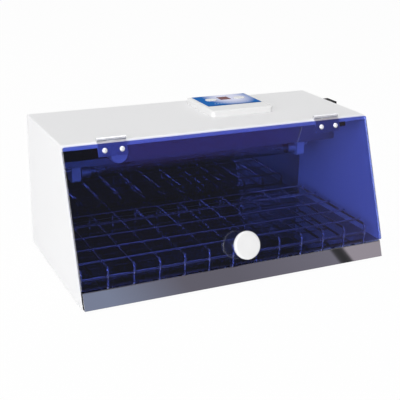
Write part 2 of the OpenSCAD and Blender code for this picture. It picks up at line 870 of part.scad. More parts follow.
module door_knob() {
    rim_r = 2.5;
    disc_t = 6;
    thread_len = 10;
    color("white") front() translate([0, -door_n - door_t, knob_s]) rotate([90, 0, 0]) difference() {
        rotate_extrude() {
            square([knob_neck_d / 2, knob_h - rim_r]);
            translate([0, knob_h - disc_t]) square([knob_d / 2 - rim_r, disc_t]);
            translate([0, knob_h - disc_t + rim_r]) square([knob_d / 2, disc_t - 2 * rim_r]);
            for (z = [knob_h - disc_t + rim_r, knob_h - rim_r])
                translate([knob_d / 2 - rim_r, z]) circle(rim_r);
        }
        translate([0, 0, -eps]) cylinder(r = knob_screw_r, h = thread_len + eps);
    }
}

module knob_screw() {
    thread_len = 9;
    head_h = 2;
    color("silver") front() translate([0, 0, knob_s]) {
        rod_y(knob_screw_r, -door_n - door_t - thread_len, door_t + thread_len + washer_t);
        rod_y(head_ratio * knob_screw_r, washer_t - door_n, head_h);
    }
}

module knob_washer() {
    washer_ratio = 2.3;
    color("silver") front() translate([0, 0, knob_s]) difference() {
        rod_y(washer_ratio * knob_screw_r, -door_n, washer_t);
        rod_y(knob_screw_r + screw_hole_gap / 2, -door_n - 1, washer_t + 2);
    }
}

// Door leaf with the middle knuckle: s is -1 for the left hinge and 1 for the right one
module door_leaf(s) {
    leaf_low = front_len - door_leaf_h;
    color("silver") front() translate([s * hinge_x, 0, 0]) difference() {
        union() {
            translate([-hinge_w / 2, -door_n, leaf_low])
                cube([hinge_w, leaf_t, front_len - door_gap - leaf_low]);
            translate([-knuckle_w / 2 + leaf_gap, -door_n, leaf_low])
                cube([knuckle_w - 2 * leaf_gap, leaf_t, pin_s - leaf_low]);
            translate([0, -pin_n, pin_s]) rod_x(knuckle_r, knuckle_w - 2 * leaf_gap);
        }
        translate([0, -pin_n, pin_s]) rod_x(pin_r + run_gap, hinge_w);
        for (e = [-1, 1])
            translate([e * hinge_screw_pitch / 2, 0, hinge_screw_s])
                rod_y(hinge_screw_r, -door_n - 1, leaf_t + 2);
    }
}

// Body leaf with the two outer knuckles
module body_leaf(s) {
    leaf_low = front_len - body_leaf_h;
    color("silver") front() translate([s * hinge_x, 0, 0]) difference() {
        union() {
            translate([-hinge_w / 2, -leaf_t, leaf_low])
                cube([hinge_w, leaf_t, front_len - door_gap - leaf_low]);
            for (e = [-1, 1]) {
                translate([e * knuckle_w - knuckle_w / 2, -leaf_t, leaf_low])
                    cube([knuckle_w, leaf_t, pin_s - leaf_low]);
                translate([e * knuckle_w, -pin_n, pin_s]) rod_x(knuckle_r, knuckle_w);
            }
        }
        translate([0, -pin_n, pin_s]) rod_x(pin_r, hinge_w + 1);
        for (e = [-1, 1])
            translate([e * hinge_rivet_pitch / 2, 0, hinge_rivet_s])
                rod_y(hinge_rivet_r, -leaf_t - 1, leaf_t + 2);
        for (e = [-1, 1])
            translate([e * hinge_screw_pitch / 2, 0, hinge_screw_s])
                rod_y(hinge_screw_r + 2 * screw_hole_gap, -leaf_t - 1, leaf_t + 2);
    }
}

module hinge_pin(s) {
    color("silver") front() translate([s * hinge_x, -pin_n, pin_s]) rod_x(pin_r, hinge_w);
}

module hinge_left_door_leaf() { door_leaf(-1); }
module hinge_left_body_leaf() { body_leaf(-1); }
module hinge_left_pin() { hinge_pin(-1); }
module hinge_right_door_leaf() { door_leaf(1); }
module hinge_right_body_leaf() { body_leaf(1); }
module hinge_right_pin() { hinge_pin(1); }

module hinge_door_screws() {
    front_y = -door_n - door_t;
    color("silver") front() hinge_screw_places() {
        rod_y(hinge_screw_r, front_y, door_t + leaf_t);
        difference() {
            translate([0, front_y, 0]) rotate([90, 0, 0]) screw_head();
            rotate([0, 0, 180]) cross_recess(-front_y + screw_head_h - recess_depth);
        }
    }
}

module hinge_body_rivets() {
    color("silver") front() hinge_rivet_places() {
        rod_y(hinge_rivet_r, -leaf_t, leaf_t + sheet_t);
        rod_y(head_ratio * hinge_rivet_r, sheet_t, rivet_head_t);
    }
}

// Control box on the top
module on_top() {
    place() translate([0, 0, body_h]) children();
}

module control_boss_places() {
    for (s = [-1, 1], y = [boss_front, boss_rear])
        translate([s * (box_w / 2 - boss_in), y, 0]) children();
}

module control_base() {
    boss_h = 3.2;
    post_r = 2.2;
    post_in = 6;
    boss_roof = 0.6;
    fit = 0.2;
    color("white") on_top() translate([box_x, box_y, 0]) difference() {
        union() {
            linear_extrude(base_t)
                round_rect(box_w - 2 * box_wall - fit, box_d - 2 * box_wall - fit, box_r - box_wall);
            control_boss_places() cylinder(r = boss_r, h = boss_h);
            for (sx = [-1, 1], sy = [-1, 1])
                translate([sx * (board_w / 2 - post_in), sy * (board_d / 2 - post_in), 0])
                    cylinder(r = post_r, h = board_z);
        }
        translate([0, 0, -eps]) control_boss_places() cylinder(r = control_screw_r, h = boss_h - boss_roof);
        translate([0, 0, -eps]) cylinder(r = cable_hole_r, h = base_t + 2 * eps);
    }
}

module control_cover() {
    top_r = 2.6;
    color("white") on_top() difference() {
        translate([box_x, box_y, 0]) {
            intersection() {
                linear_extrude(box_h) round_rect(box_w, box_d, box_r);
                along_x(2 * box_w) wrap_outline(box_d, box_h, top_r);
                along_y(-box_d, 2 * box_d) wrap_outline(box_w, box_h, top_r);
            }
        }
        translate([box_x, box_y, -eps]) linear_extrude(cover_under + eps)
            round_rect(box_w - 2 * box_wall, box_d - 2 * box_wall, box_r - box_wall);
        translate([label_x, 0, 0]) {
            translate([0, window_y, box_h / 2]) cube([window_w, window_w, 2 * box_h], center = true);
            for (s = [-1, 1])
                translate([s * button_x, button_y, cover_under - eps])
                    linear_extrude(box_h) oval(button_w + 2 * key_gap, button_d + 2 * key_gap);
        }
    }
}

module control_label() {
    color("royalblue") on_top() translate([label_x, 0, box_h]) linear_extrude(label_t) difference() {
        translate([0, label_y]) round_rect(label_w, label_d, 1);
        translate([0, window_y]) square(window_w, center = true);
        for (s = [-1, 1])
            translate([s * button_x, button_y]) oval(button_w + 2 * key_gap, button_d + 2 * key_gap);
    }
}

module display_window() {
    color("maroon") on_top() translate([label_x, window_y, 0])
        translate([-window_w / 2, -window_w / 2, cover_under])
            cube([window_w, window_w, box_wall + label_t]);
}

module timer_board() {
    module_w = window_w - 2;
    color("darkgreen") on_top() difference() {
        union() {
            translate([box_x - board_w / 2, box_y - board_d / 2, board_z]) cube([board_w, board_d, board_t]);
            translate([label_x - module_w / 2, window_y - module_w / 2, board_z])
                cube([module_w, module_w, cover_under - board_z - 0.2]);
        }
        translate([box_x, box_y, board_z - eps]) cylinder(r = cable_hole_r / 2, h = board_t + 2 * eps);
    }
}

module key_switches() {
    key_side = 6;
    stem_r = 1.7;
    board_top = board_z + board_t;
    color("dimgray") on_top() for (s = [-1, 1]) translate([label_x + s * button_x, button_y, 0]) {
        translate([-key_side / 2, -key_side / 2, board_top])
            cube([key_side, key_side, (key_top - board_top) / 2]);
        translate([0, 0, board_top]) cylinder(r = stem_r, h = key_top - board_top);
    }
}

module button(s) {
    proud = 0.5;
    flange = 0.8;
    color("white") on_top() translate([label_x + s * button_x, button_y, 0]) {
        translate([0, 0, cover_under - flange_t]) linear_extrude(flange_t - key_clear)
            oval(button_w + 2 * flange, button_d + 2 * flange);
        translate([0, 0, cover_under - flange_t])
            linear_extrude(box_wall + flange_t + label_t + proud) oval(button_w, button_d);
    }
}

module button_left() { button(-1); }
module button_right() { button(1); }

module control_screws() {
    screw_in = 2;
    head_h = 1.6;
    color("silver") on_top() translate([box_x, box_y, 0]) control_boss_places() {
        translate([0, 0, -sheet_t]) cylinder(r = control_screw_r, h = sheet_t + screw_in);
        translate([0, 0, -sheet_t - head_h]) cylinder(r = 2 * control_screw_r, h = head_h);
    }
}

// Rocker switch in the right wall
module at_switch() {
    place() translate([0, switch_y, switch_z]) children();
}

module switch_body() {
    wall_x = body_w / 2;
    tub_w = cut_w - rocker_gap;
    tub_h = cut_h - rocker_gap;
    well = rocker_pivot_x - rocker_r - 1;
    color("black") at_switch() difference() {
        union() {
            translate([wall_x, -switch_w / 2, -switch_h / 2]) cube([switch_out, switch_w, switch_h]);
            translate([wall_x - switch_body_len, -tub_w / 2, -tub_h / 2])
                cube([switch_body_len + eps, tub_w, tub_h]);
        }
        translate([well, -rocker_w / 2 - rocker_gap, -rocker_h / 2 - rocker_gap])
            cube([far, rocker_w + 2 * rocker_gap, rocker_h + 2 * rocker_gap]);
        translate([rocker_pivot_x, 0, 0])
            cylinder(r = rocker_pin_r + run_gap, h = rocker_pin_h + rocker_gap, center = true);
    }
}

// Outline of the rocker from above, level, with its pivot at the origin.
module rocker_outline() {
    half_low = rocker_w / 2;
    dish = 1.2;
    circle(rocker_r);
    polygon([
        [0, -half_low], [rocker_crest, -rocker_half_high],
        [rocker_crest - dish, 0],
        [rocker_crest, rocker_half_high], [0, half_low]
    ]);
}

module switch_rocker() {
    color("black") at_switch() translate([rocker_pivot_x, 0, 0]) rotate([0, 0, rocker_tilt]) {
        linear_extrude(rocker_h, center = true) rocker_outline();
        cylinder(r = rocker_pin_r, h = rocker_pin_h, center = true);
    }
}

// Cord gland in the back panel, with no cord in it
module cord_gland() {
    gland_len = gland_nut_t + sheet_t + gland_flange_t + 5;
    color("black") place() translate([gland_x, 0, gland_z]) difference() {
        union() {
            rod_y(gland_body_r, panel_y - gland_nut_t, gland_len);
            rod_y(gland_flange_r, body_d, gland_flange_t);
            rod_y(gland_flange_r - 1, panel_y - gland_nut_t, gland_nut_t, $fn = 6);
        }
        rod_y(gland_bore_r, panel_y - gland_nut_t - 1, gland_len + 2);
    }
}

// Door interlock behind the front flange
module interlock_switch() {
    color("black") front() difference() {
        translate([interlock_x - interlock_w / 2, sheet_t, interlock_low])
            cube([interlock_w, interlock_t, interlock_h]);
        translate([plunger_x, 0, plunger_s]) rod_y(plunger_r + plunger_run, sheet_t - eps, plunger_in + 2);
    }
}

module interlock_plunger() {
    color("black") front() translate([plunger_x, 0, plunger_s])
        rod_y(plunger_r, plunger_touch - door_n, door_n - plunger_touch + sheet_t + plunger_in);
}

outer_shell();
back_panel();
back_panel_screws();
base_pan();
bottom_plate();
rubber_feet();
foot_screws();
back_reflector();
ballast_housing();
housing_rivets();
ballast();
starter_socket();
starter_can();
starter_pins();
lamp_holder_left();
lamp_holder_right();
lamp_rotors();
lamp_tube();
lamp_caps();
lamp_pins();
lamp_electrodes();
lamp_leads();
rack_long_wires();
rack_cross_wires();
rack_tie_rods();
door_panel();
door_knob();
knob_screw();
knob_washer();
hinge_left_door_leaf();
hinge_left_body_leaf();
hinge_left_pin();
hinge_right_door_leaf();
hinge_right_body_leaf();
hinge_right_pin();
hinge_door_screws();
hinge_body_rivets();
control_base();
control_cover();
control_label();
display_window();
timer_board();
key_switches();
button_left();
button_right();
control_screws();
switch_body();
switch_rocker();
cord_gland();
interlock_switch();
interlock_plunger();
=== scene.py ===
"""Dresses the UV sterilizer cabinet with its finishes and small details, and sets up its studio."""

import json
import math

import bpy
from bpy.props import BoolProperty, FloatProperty, FloatVectorProperty, IntProperty, PointerProperty
from mathutils import Matrix, Vector


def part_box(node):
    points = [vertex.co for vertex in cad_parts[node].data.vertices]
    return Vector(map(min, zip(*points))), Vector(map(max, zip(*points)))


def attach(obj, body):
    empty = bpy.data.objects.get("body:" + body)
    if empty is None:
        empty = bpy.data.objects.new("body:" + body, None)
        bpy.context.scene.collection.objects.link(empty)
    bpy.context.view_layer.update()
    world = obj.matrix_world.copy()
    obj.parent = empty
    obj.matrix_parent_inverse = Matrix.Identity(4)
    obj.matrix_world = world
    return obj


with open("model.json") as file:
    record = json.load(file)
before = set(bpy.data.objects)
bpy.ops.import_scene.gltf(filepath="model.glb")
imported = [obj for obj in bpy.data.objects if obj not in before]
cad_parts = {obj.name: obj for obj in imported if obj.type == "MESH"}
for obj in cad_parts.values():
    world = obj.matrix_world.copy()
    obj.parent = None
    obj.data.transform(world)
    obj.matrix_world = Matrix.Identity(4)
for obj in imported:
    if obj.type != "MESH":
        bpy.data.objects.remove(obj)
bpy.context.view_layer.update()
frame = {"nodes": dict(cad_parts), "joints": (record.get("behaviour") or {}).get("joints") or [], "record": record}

bl_info = {
    "name": "UV sterilizer cabinet",
    "version": (1, 0, 0),
    "blender": (4, 5, 0),
    "location": "3D View > Sidebar > Cabinet",
    "description": "Finishes, small details and studio of a UV sterilizer cabinet",
    "category": "Object",
}

MM = 0.001
WHITE = (1.0, 1.0, 1.0)
TOUCH = 1e-6
SLOT_OF = {piece["node"]: piece["material_slot"] for piece in frame["record"]["subparts"]}


def colour_prop(label, what, colour):
    """A colour that a user may change."""
    return FloatVectorProperty(
        name=label, description=what, subtype="COLOR", size=3, min=0.0, max=1.0, default=colour
    )


def length_prop(label, what, length):
    """A length that a user may change, in metres."""
    return FloatProperty(
        name=label, description=what, unit="LENGTH", subtype="DISTANCE", min=0.0, precision=5, default=length
    )


class CabinetLook(bpy.types.PropertyGroup):
    """Colours and surface grain of the cabinet's finishes."""

    paint: colour_prop("Paint", "Powder coat of the outer sheets", (0.84, 0.84, 0.85))
    peel: length_prop("Paint dimples", "Width of one dimple of the powder coat", 1.4 * MM)
    steel: colour_prop("Polished steel", "Inner sheets and front strip", (0.39, 0.385, 0.405))
    wire: colour_prop("Chrome wire", "Plating of the rack", (0.66, 0.58, 0.56))
    zinc: colour_prop("Zinc", "Plating of hinges, screws and rivets", (0.72, 0.73, 0.76))
    acrylic: colour_prop("Acrylic tint", "What the door's sheet lets through", (0.186, 0.242, 0.594))
    gloss: colour_prop("Gloss white", "Knob, timer cover and buttons", (0.80, 0.80, 0.80))
    plastic: colour_prop("White plastic", "Lamp holders, starter and leads", (0.88, 0.88, 0.85))
    black: colour_prop("Black plastic", "Rocker, switches and gland", (0.009, 0.009, 0.010))
    label_edge: colour_prop("Label ends", "Overlay film at its ends", (0.028, 0.16, 0.51))
    label_middle: colour_prop("Label middle", "Overlay film round the buttons", (0.80, 0.82, 1.0))
    display: colour_prop("Display tint", "What the display window lets through", (0.30, 0.05, 0.07))


class CabinetDetails(bpy.types.PropertyGroup):
    """Sizes of the small details that are modelled here."""

    bead_r: length_prop("Weld radius", "Radius of a weld bead on the rack", 1.5 * MM)
    long_count: IntProperty(
        name="Long wires", description="Front-to-back wires of the rack", min=2, default=13
    )
    cross_count: IntProperty(name="Cross wires", description="Wires across the rack", min=2, default=5)
    coil_r: length_prop("Coil radius", "Radius of a lamp filament's coil", 0.8 * MM)
    coil_wire_r: length_prop("Coil wire", "Radius of the filament wire", 0.16 * MM)
    coil_turns: IntProperty(name="Coil turns", description="Turns of a filament", min=2, default=8)
    digit_h: length_prop("Digit height", "Height of a figure on the display", 8.0 * MM)
    digit_w: length_prop("Digit width", "Width of a figure on the display", 4.2 * MM)
    segment_w: length_prop("Segment width", "Width of one bar of a figure", 0.8 * MM)
    mark_h: length_prop("Switch mark", "Height of the marks on the rocker", 3.2 * MM)
    mark_w: length_prop("Mark stroke", "Stroke of the marks on the rocker", 0.6 * MM)


class CabinetStudio(bpy.types.PropertyGroup):
    """Camera, lamps, floor and cards."""

    eye: FloatVectorProperty(
        name="Camera place", description="Where the camera stands", subtype="XYZ", unit="LENGTH", size=3,
        default=(-0.42117, -0.8557, 0.4130),
    )
    azimuth: FloatProperty(
        name="Azimuth", description="Turn of the camera about the vertical", subtype="ANGLE",
        default=math.radians(-25.393),
    )
    elevation: FloatProperty(
        name="Elevation", description="How steeply the camera looks down", subtype="ANGLE",
        default=math.radians(20.036),
    )
    roll: FloatProperty(
        name="Roll", description="Tilt of the camera about its own axis", subtype="ANGLE",
        default=math.radians(1.201),
    )
    lens: FloatProperty(name="Lens", description="Focal length", unit="CAMERA", default=75.5)
    ambient: FloatProperty(name="Ambient", description="Light from all round", min=0.0, default=0.25)
    key: FloatProperty(name="Key light", description="Lamp at the left", unit="POWER", default=30.0)
    top: FloatProperty(name="Top light", description="Lamp overhead", unit="POWER", default=20.5)
    fill: FloatProperty(name="Fill light", description="Lamp at the front", unit="POWER", default=26.0)
    floor: colour_prop("Floor", "Colour of the floor", (0.90, 0.90, 0.90))
    paleness: FloatProperty(
        name="Paleness", description="How far the floor fades the object's shadow", min=0.0, max=1.0,
        default=0.97,
    )
    card_left: colour_prop("Card, left", "Left foot of the card", (0.64, 0.74, 1.0))
    card_low: colour_prop("Card, foot", "Foot of the card that the metal mirrors", (0.41, 0.395, 0.475))
    card_right: colour_prop("Card, right", "Right foot of the card", (1.0, 0.91, 0.99))
    card_high: colour_prop("Card, head", "Head of the card that the door mirrors", (0.11, 0.11, 0.115))
    card_top: colour_prop("Card, top", "Top of the card that the door mirrors", (0.26, 0.11, 0.16))
    card_side: colour_prop("Card, side", "Right of the card that the door mirrors", (0.27, 0.21, 0.19))
    mat: colour_prop("Mat", "Dark mat that the lamp housing mirrors", (0.02, 0.02, 0.02))
    show_cards: BoolProperty(
        name="Cards", description="Set out the cards that the door and the metal mirror", default=True
    )


class Term:
    """A socket in a shader expression. Its operators add Math nodes."""

    def __init__(self, shader, socket):
        self.shader = shader
        self.socket = socket

    def __add__(self, other):
        return self.shader.math("ADD", self, other)

    def __radd__(self, other):
        return self.shader.math("ADD", other, self)

    def __sub__(self, other):
        return self.shader.math("SUBTRACT", self, other)

    def __mul__(self, other):
        return self.shader.math("MULTIPLY", self, other)

    def __rmul__(self, other):
        return self.shader.math("MULTIPLY", other, self)

    def __lt__(self, other):
        return self.shader.math("LESS_THAN", self, other)


def rgba(colour):
    """A colour with full alpha."""
    return (colour[0], colour[1], colour[2], 1.0)


def shade(colour, by):
    """A colour made lighter or darker."""
    return tuple(min(1.0, part * by) for part in colour)


def root(colour):
    """What one of two faces lets through."""
    return tuple(math.sqrt(part) for part in colour)


class Shader:
    """A node tree under construction. All its nodes are added by one method."""

    def __init__(self, tree):
        self.tree = tree
        self.tree.nodes.clear()

    def node(self, kind, settings=None, values=None, output=0):
        """Add a node, set its settings first and its sockets next, and give one of its outputs."""
        made = self.tree.nodes.new("ShaderNode" + kind)
        for key, setting in (settings or {}).items():
            setattr(made, key, setting)
        for key, value in (values or {}).items():
            if isinstance(value, Term):
                self.tree.links.new(value.socket, made.inputs[key])
            else:
                made.inputs[key].default_value = value
        if not made.outputs:
            return None
        return Term(self, made.outputs[output])

    def math(self, operation, *values):
        """One Math node."""
        return self.node("Math", {"operation": operation}, dict(enumerate(values)))

    def place(self, scale=(1.0, 1.0, 1.0), origin=(0.0, 0.0, 0.0)):
        """Object coordinates from an origin, stretched."""
        spot = self.node("TexCoord", output="Object")
        start = [-along * by for along, by in zip(origin, scale)]
        return self.node("Mapping", None, {"Vector": spot, "Location": start, "Scale": scale})

    def axis(self, name, spot=None):
        """One Object coordinate, or that of another spot."""
        return self.node("SeparateXYZ", None, {0: self.place() if spot is None else spot}, name)

    def ramp(self, value, low, high):
        """A share that goes from 0 to 1 between two values."""
        return self.node("MapRange", None, {"Value": value, "From Min": low, "From Max": high})

    def graded(self, value, stops):
        """A colour that changes with a value, by a list of places and colours."""
        graded = self.node("ValToRGB", None, {0: value}, "Color")
        elements = graded.socket.node.color_ramp.elements
        while len(elements) < len(stops):
            elements.new(1.0)
        for element, (place, colour) in zip(elements, stops):
            element.position = place
            element.color = rgba(colour)
        return graded

    def noise(self, scale, detail=2.0, stretch=(1.0, 1.0, 1.0), rough=0.5):
        """Noise with a number of cells to the metre, about 0 to 1."""
        return self.node(
            "TexNoise", None,
            {"Vector": self.place(stretch), "Scale": scale, "Detail": detail, "Roughness": rough}, "Fac",
        )

    def blend(self, share, first, second):
        """Mix two colours."""
        ends = {0: share}
        for key, colour in ((6, first), (7, second)):
            ends[key] = colour if isinstance(colour, Term) else rgba(colour)
        return self.node("Mix", {"data_type": "RGBA"}, ends, 2)

    def soft_edges(self, radius):
        """Normals that round the sharp edges off."""
        return self.node("Bevel", {"samples": 6}, {"Radius": radius}, "Normal")

    def bump(self, height, strength, depth, normal=None):
        """Normals of a relief."""
        values = {"Height": height, "Strength": strength, "Distance": depth}
        if normal is not None:
            values["Normal"] = normal
        return self.node("Bump", None, values, "Normal")

    def principled(self, **values):
        """The main shader. Underscores stand for spaces in its sockets' names."""
        named = {key.replace("_", " "): value for key, value in values.items()}
        return self.node("BsdfPrincipled", None, named, "BSDF")


class Finish(Shader):
    """A material under construction."""

    def __init__(self, name):
        self.material = bpy.data.materials.new(name)
        self.material.use_nodes = True
        super().__init__(self.material.node_tree)

    def done(self, surface):
        """Connect the surface and give the material."""
        self.node("OutputMaterial", None, {"Surface": surface})
        return self.material


def paint_finish(look):
    """White powder coat: fine dimples, softly rounded edges."""
    made = Finish("white_paint")
    dimples = made.noise(scale=1.0 / look.peel, detail=1.0)
    cloud = made.noise(scale=5.0, detail=3.0)
    edges = made.soft_edges(radius=0.6 * MM)
    return made.done(made.principled(
        Base_Color=made.blend(cloud, shade(look.paint, 0.985), shade(look.paint, 1.01)),
        Roughness=0.26 + 0.10 * cloud + 0.06 * dimples,
        Normal=made.bump(dimples, strength=0.10, depth=0.04 * MM, normal=edges),
    ))


def steel_finish(look):
    """Polished steel sheet with a fine grain along the cabinet and wiping marks. Its colour holds painted shade
    low down and a painted lighter tone up high.
    """
    made = Finish("polished_steel")
    grain = made.noise(scale=260.0, detail=3.0, stretch=(0.02, 1.0, 1.0), rough=0.65)
    wiping = made.noise(scale=16.0, detail=4.0, stretch=(0.5, 1.0, 1.6), rough=0.6)
    # Painted light: below 100 mm the steel is painted darker as shade, and above 120 mm it is painted lighter as
    # if better lit
    painted_light_by_height = made.ramp(made.axis("Z"), 100.0 * MM, 120.0 * MM)
    tone = made.blend(painted_light_by_height, shade(look.steel, 0.72), shade(look.steel, 1.08))
    marked = 0.4 * (0.5 * grain + 0.5 * wiping)
    edges = made.soft_edges(radius=0.3 * MM)
    return made.done(made.principled(
        Base_Color=made.blend(marked, tone, shade(look.steel, 0.80)),
        Metallic=1.0,
        Roughness=0.005 + 0.012 * grain + 0.01 * wiping,
        Normal=made.bump(grain, strength=0.004, depth=0.01 * MM, normal=edges),
    ))


def wire_finish(look):
    """Bright chrome plating with small dull spots."""
    made = Finish("chrome_wire")
    spots = made.noise(scale=420.0, detail=3.0)
    return made.done(made.principled(
        Base_Color=made.blend(spots, shade(look.wire, 0.86), shade(look.wire, 1.08)),
        Metallic=1.0,
        Roughness=0.05 + 0.08 * spots,
        Normal=made.bump(spots, strength=0.05, depth=0.02 * MM),
    ))


def zinc_finish(look):
    """Zinc plating with faint patches."""
    made = Finish("zinc_steel")
    patches = made.node("TexVoronoi", None, {"Vector": made.place(), "Scale": 900.0}, "Color")
    tone = made.node("SeparateColor", None, {0: patches}, "Red")
    haze = made.noise(scale=300.0, detail=3.0)
    return made.done(made.principled(
        Base_Color=made.blend(0.4 * tone + 0.6 * haze, shade(look.zinc, 0.88), shade(look.zinc, 1.12)),
        Metallic=1.0,
        Roughness=0.34 + 0.08 * tone + 0.10 * haze,
        Normal=made.soft_edges(radius=0.25 * MM),
    ))


def rubber_finish(look):
    """Matt black rubber."""
    made = Finish("rubber")
    pores = made.noise(scale=1800.0, detail=3.0)
    dark = (0.016, 0.016, 0.017)
    pale = (0.034, 0.034, 0.035)
    edges = made.soft_edges(radius=0.4 * MM)
    return made.done(made.principled(
        Base_Color=made.blend(pores, dark, pale),
        Roughness=0.68 + 0.2 * pores,
        Normal=made.bump(pores, strength=0.3, depth=0.05 * MM, normal=edges),
    ))


def enamel_finish(look):
    """Dark baking varnish that has run a little."""
    made = Finish("dark_enamel")
    runs = made.noise(scale=140.0, detail=3.0, stretch=(1.0, 1.0, 0.3))
    dark = (0.020, 0.018, 0.017)
    pale = (0.050, 0.045, 0.042)
    edges = made.soft_edges(radius=0.5 * MM)
    return made.done(made.principled(
        Base_Color=made.blend(runs, dark, pale),
        Roughness=0.30 + 0.25 * runs,
        Normal=made.bump(runs, strength=0.3, depth=0.2 * MM, normal=edges),
    ))


def moulded_finish(name, colour, roughness, grain, shine=0.5):
    """Moulded plastic with a fine grain."""
    made = Finish(name)
    pits = made.noise(scale=grain)
    cloud = made.noise(scale=40.0)
    edges = made.soft_edges(radius=0.35 * MM)
    return made.done(made.principled(
        Base_Color=made.blend(cloud, shade(colour, 0.95), shade(colour, 1.04)),
        Roughness=roughness + 0.08 * pits + 0.06 * cloud,
        Specular_IOR_Level=shine,
        Normal=made.bump(pits, strength=0.08, depth=0.03 * MM, normal=edges),
    ))


def plastic_finish(look):
    """White moulded plastic of the electric fittings."""
    return moulded_finish("white_plastic", look.plastic, roughness=0.34, grain=1500.0)


def gloss_finish(look):
    """Glossy white plastic."""
    return moulded_finish("white_gloss", look.gloss, roughness=0.12, grain=700.0)


def black_finish(look):
    """Black plastic with a fine grain and hardly any gloss."""
    return moulded_finish("black_plastic", look.black, roughness=0.40, grain=1700.0, shine=0.02)


def brass_finish(look):
    """Contact pins of bare brass."""
    made = Finish("brass_pins")
    tarnish = made.noise(scale=500.0, detail=3.0)
    dark = (0.60, 0.43, 0.18)
    pale = (0.78, 0.60, 0.30)
    return made.done(made.principled(
        Base_Color=made.blend(tarnish, dark, pale),
        Metallic=1.0,
        Roughness=0.18 + 0.18 * tarnish,
        Normal=made.soft_edges(radius=0.2 * MM),
    ))


def lamp_metal_finish(look):
    """Drawn aluminium of the lamp's caps and mounts."""
    made = Finish("lamp_metal")
    rings = made.noise(scale=900.0, stretch=(1.0, 0.05, 0.05))
    dark = (0.62, 0.63, 0.65)
    pale = (0.80, 0.81, 0.82)
    return made.done(made.principled(
        Base_Color=made.blend(rings, dark, pale),
        Metallic=1.0,
        Roughness=0.24 + 0.16 * rings,
        Normal=made.soft_edges(radius=0.2 * MM),
    ))


def see_through(made, glass, tint):
    """Glass that lets the lamps' light reach what is behind it."""
    lit = made.node("LightPath", output="Is Shadow Ray")
    clear = made.node("BsdfTransparent", None, {"Color": rgba(root(tint))})
    return made.done(made.node("MixShader", None, {0: lit, 1: glass, 2: clear}))


def glass_finish(look):
    """Clear quartz glass, a little hazy in places."""
    made = Finish("lamp_glass")
    haze = made.noise(scale=60.0, detail=3.0)
    tint = (0.93, 0.95, 0.96)
    glass = made.principled(
        Base_Color=rgba(tint), Roughness=0.02 + 0.05 * haze, IOR=1.46, Transmission_Weight=1.0
    )
    return see_through(made, glass, tint)


def acrylic_finish(look):
    """Blue see-through acrylic with faint wiping marks."""
    made = Finish("blue_acrylic")
    wiping = made.noise(scale=22.0, detail=4.0, stretch=(1.0, 0.4, 0.4), rough=0.6)
    tint = tuple(look.acrylic)
    glass = made.principled(
        Base_Color=rgba(tint), Roughness=0.004 + 0.02 * wiping, IOR=1.49, Transmission_Weight=1.0,
        Coat_Weight=0.6, Coat_Roughness=0.02,
    )
    return see_through(made, glass, tint)


def display_finish(look):
    """Dark red filter over the figures, a little milky and with hardly any gloss."""
    made = Finish("dark_red")
    dust = made.noise(scale=900.0)
    tint = tuple(look.display)
    glass = made.principled(
        Base_Color=rgba(tint), Roughness=0.03 + 0.06 * dust, IOR=1.08, Transmission_Weight=0.6
    )
    return see_through(made, glass, tint)


def board_finish(look):
    """Green board with paler tracks under its varnish."""
    made = Finish("circuit_board")
    tracks = made.node(
        "TexBrick", None, {"Vector": made.place(), "Scale": 160.0, "Mortar Size": 0.03}, "Fac"
    )
    weave = made.noise(scale=2200.0, detail=1.0)
    dark = (0.012, 0.085, 0.032)
    pale = (0.045, 0.20, 0.075)
    return made.done(made.principled(
        Base_Color=made.blend(tracks, dark, pale),
        Roughness=0.30 + 0.15 * weave,
        Normal=made.soft_edges(radius=0.2 * MM),
    ))


def label_finish(look):
    """Printed overlay film: blue at its ends, pale round the buttons, with a plain scale of dashes."""
    made = Finish("blue_film")
    low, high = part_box("control_label")
    middle = (low + high) / 2
    half = (high - low) / 2
    spot = made.place((1.0 / half.x, 1.0 / half.y, 1.0), middle)
    across = made.axis("X", spot)
    along = made.axis("Y", spot)
    # Places on the film run from -1 to 1 across and along it
    pale_x = 0.20
    pale_y = 0.45
    weight_x = 0.75
    weight_y = 0.25
    hem_y = -0.93
    aside = across - pale_x
    rise = along - pale_y
    spread = aside * aside * weight_x + rise * rise * weight_y
    ground = made.graded(spread, [(0.10, look.label_middle), (0.62, look.label_edge)])
    framed = made.blend(along < hem_y, ground, shade(look.label_edge, 0.5))
    # Dashes in one row, each followed by a gap
    row_y = -0.62
    row_reach = 0.66
    dash_half = 0.035
    dashes_per_half = 9.0
    dash_share = 0.62
    dash_colour = (0.55, 0.68, 0.88)
    level = made.math("ABSOLUTE", along - row_y) < dash_half
    inside = made.math("ABSOLUTE", across) < row_reach
    dashes = level * inside * (made.math("FRACT", across * dashes_per_half) < dash_share)
    fibre = made.noise(scale=1400.0)
    return made.done(made.principled(
        Base_Color=made.blend(dashes * 0.8, framed, dash_colour),
        Roughness=0.34 + 0.10 * fibre,
        Specular_IOR_Level=0.0,
        Normal=made.bump(fibre, strength=0.05, depth=0.02 * MM),
    ))


def figure_finish(look):
    """Pale bars of a display that is off."""
    bar_colour = (0.55, 0.30, 0.28)
    return moulded_finish("display_bars", bar_colour, roughness=0.40, grain=900.0)


FINISHES = {
    "white_paint": paint_finish,
    "polished_steel": steel_finish,
    "zinc_steel": zinc_finish,
    "rubber": rubber_finish,
    "dark_enamel": enamel_finish,
    "white_plastic": plastic_finish,
    "white_gloss": gloss_finish,
    "brass_pins": brass_finish,
    "lamp_glass": glass_finish,
    "lamp_metal": lamp_metal_finish,
    "chrome_wire": wire_finish,
    "blue_acrylic": acrylic_finish,
    "blue_film": label_finish,
    "dark_red": display_finish,
    "circuit_board": board_finish,
    "black_plastic": black_finish,
    "display_bars": figure_finish,
}


def finish_for(context, name):
    """The finish of that name, made once."""
    ready = bpy.data.materials.get(name)
    if ready is not None and ready.get("cabinet_finish"):
        return ready
    if ready is not None:
        ready.name = name + "_packed"
    made = FINISHES[name](context.scene.cabinet_look)
    made["cabinet_finish"] = True
    return made


